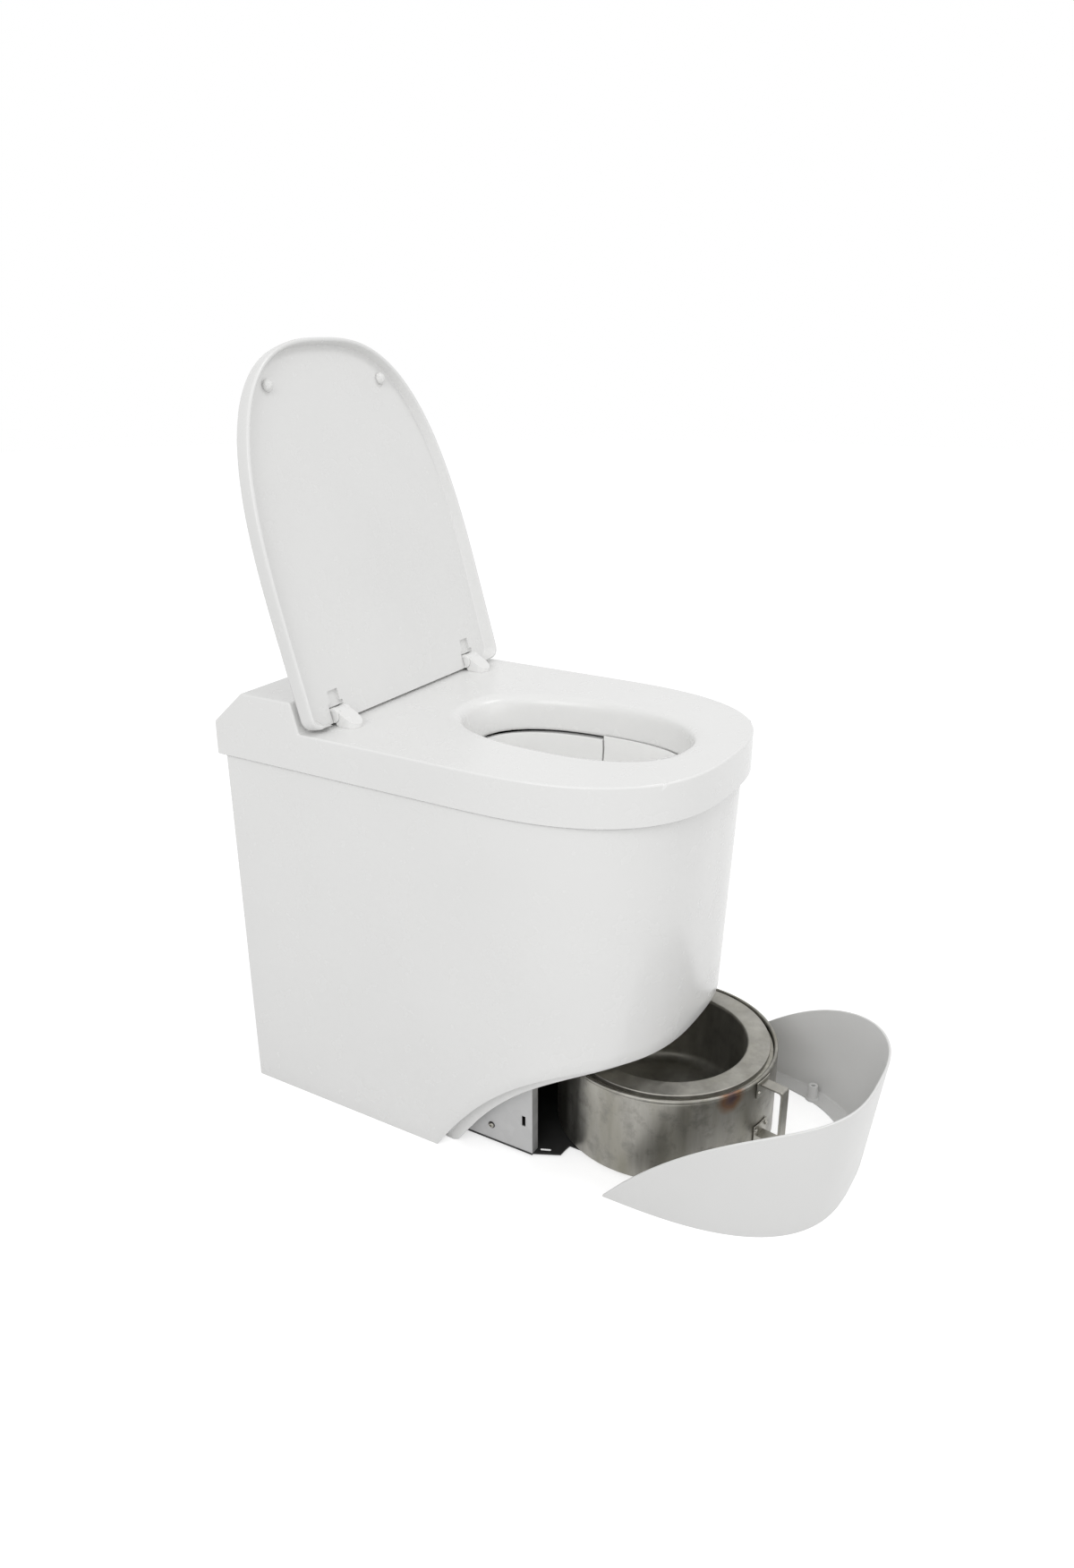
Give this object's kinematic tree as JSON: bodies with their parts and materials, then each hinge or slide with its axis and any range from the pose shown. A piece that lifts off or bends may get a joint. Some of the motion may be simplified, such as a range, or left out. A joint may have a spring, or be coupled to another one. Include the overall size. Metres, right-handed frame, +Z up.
{
  "type": "incinerating toilet",
  "caption": "White electric incinerating toilet with its lid up, its split bowl closed, its steel ash container drawn out and its front cover set down in front.",
  "frame": {"origin": "on the floor, in the middle of the body's width, a little in front of the middle of its depth", "axes": "+X runs to the right of somebody who faces the toilet, the user sits facing -Y, +Z is up"},
  "size_m": [0.39, 0.8288, 0.9241],
  "materials": {
    "white_moulding": "satin",
    "white_bowl": "glossy",
    "white_rubber": "satin",
    "stainless": "brushed",
    "hot_steel": "heat tinted",
    "galvanised": "satin",
    "insulation": "fibrous",
    "seal": "matt",
    "black_plastic": "matt",
    "grey_plastic": "satin",
    "board": "satin",
    "lamp": "glossy",
    "pressed_board": "matt"
  },
  "bodies": {
    "body": {"outer_shell": "white_moulding", "seat_top": "white_moulding", "rear_panel": "galvanised", "chassis_side_left": "galvanised", "chassis_side_right": "galvanised", "chassis_screws": "galvanised", "base_pan": "galvanised", "floor_board": "pressed_board", "container_runners": "galvanised", "cross_shelf": "hot_steel", "chamber_base": "hot_steel", "chamber_hood": "hot_steel", "chamber_roof": "hot_steel", "chamber_insulation": "insulation", "chamber_seal": "seal", "heating_element": "hot_steel", "temperature_probe": "hot_steel", "bag_chute": "stainless", "bowl_frame": "galvanised", "bowl_pins": "stainless", "seat_posts": "galvanised", "bowl_motor": "black_plastic", "exhaust_duct": "hot_steel", "catalyst_canister": "hot_steel", "exhaust_bend": "hot_steel", "fan_housing": "galvanised", "fan_motor": "black_plastic", "rear_bulkhead": "galvanised", "exhaust_spigot": "stainless", "control_box": "galvanised", "control_board": "board", "control_fascia": "grey_plastic", "status_lamps": "lamp", "power_inlet": "black_plastic", "panel_screws": "galvanised", "lid_hinge_feet": "white_moulding"},
    "lid": {"lid": "white_moulding", "lid_buffers": "white_rubber", "lid_hinge_lugs": "white_moulding", "lid_hinge_pins": "stainless"},
    "bowl_front": {"bowl_half_front": "white_bowl"},
    "bowl_rear": {"bowl_half_rear": "white_bowl"},
    "container": {"ash_drum": "stainless", "ash_pot": "stainless", "pot_insulation": "insulation", "drum_handle": "stainless", "handle_rivets": "stainless"},
    "cover": {"front_cover": "white_moulding"},
    "button": {"start_button": "white_bowl"},
    "fan": {"fan_wheel": "galvanised"}
  },
  "joints": [
    {"name": "lid_hinge", "type": "hinge", "parent": "body", "child": "lid", "pos_m": [0, 0.154, 0.513], "axis": [1, 0, 0], "range_deg": [0, 106.1]},
    {"name": "bowl_front_hinge", "type": "hinge", "parent": "body", "child": "bowl_front", "pos_m": [0, -0.24, 0.451], "axis": [-1, 0, 0], "range_deg": [0, 45]},
    {"name": "bowl_rear_hinge", "type": "hinge", "parent": "body", "child": "bowl_rear", "pos_m": [0, 0.065, 0.451], "axis": [1, 0, 0], "range_deg": [0, 45]},
    {"name": "container_slide", "type": "slide", "parent": "body", "child": "container", "axis": [0, 1, 0], "range_m": [0, 0.14]},
    {"name": "cover_slide", "type": "slide", "parent": "body", "child": "cover", "axis": [0.0235, 0.9997, 0], "range_m": [0, 0.21306]},
    {"name": "button_press", "type": "slide", "parent": "body", "child": "button", "axis": [0, 0, -1], "range_m": [0, 0.0025], "stiffness_N_per_m": 400},
    {"name": "fan_spin", "type": "hinge", "parent": "body", "child": "fan", "pos_m": [0, 0.225, 0.355], "axis": [0, 1, 0], "continuous": true}
  ],
  "couplings": [
    {"joint": "bowl_rear_hinge", "follows": "bowl_front_hinge", "ratio": 1},
    {"joint": "cover_slide", "follows": "container_slide", "ratio": 1.5218}
  ]
}
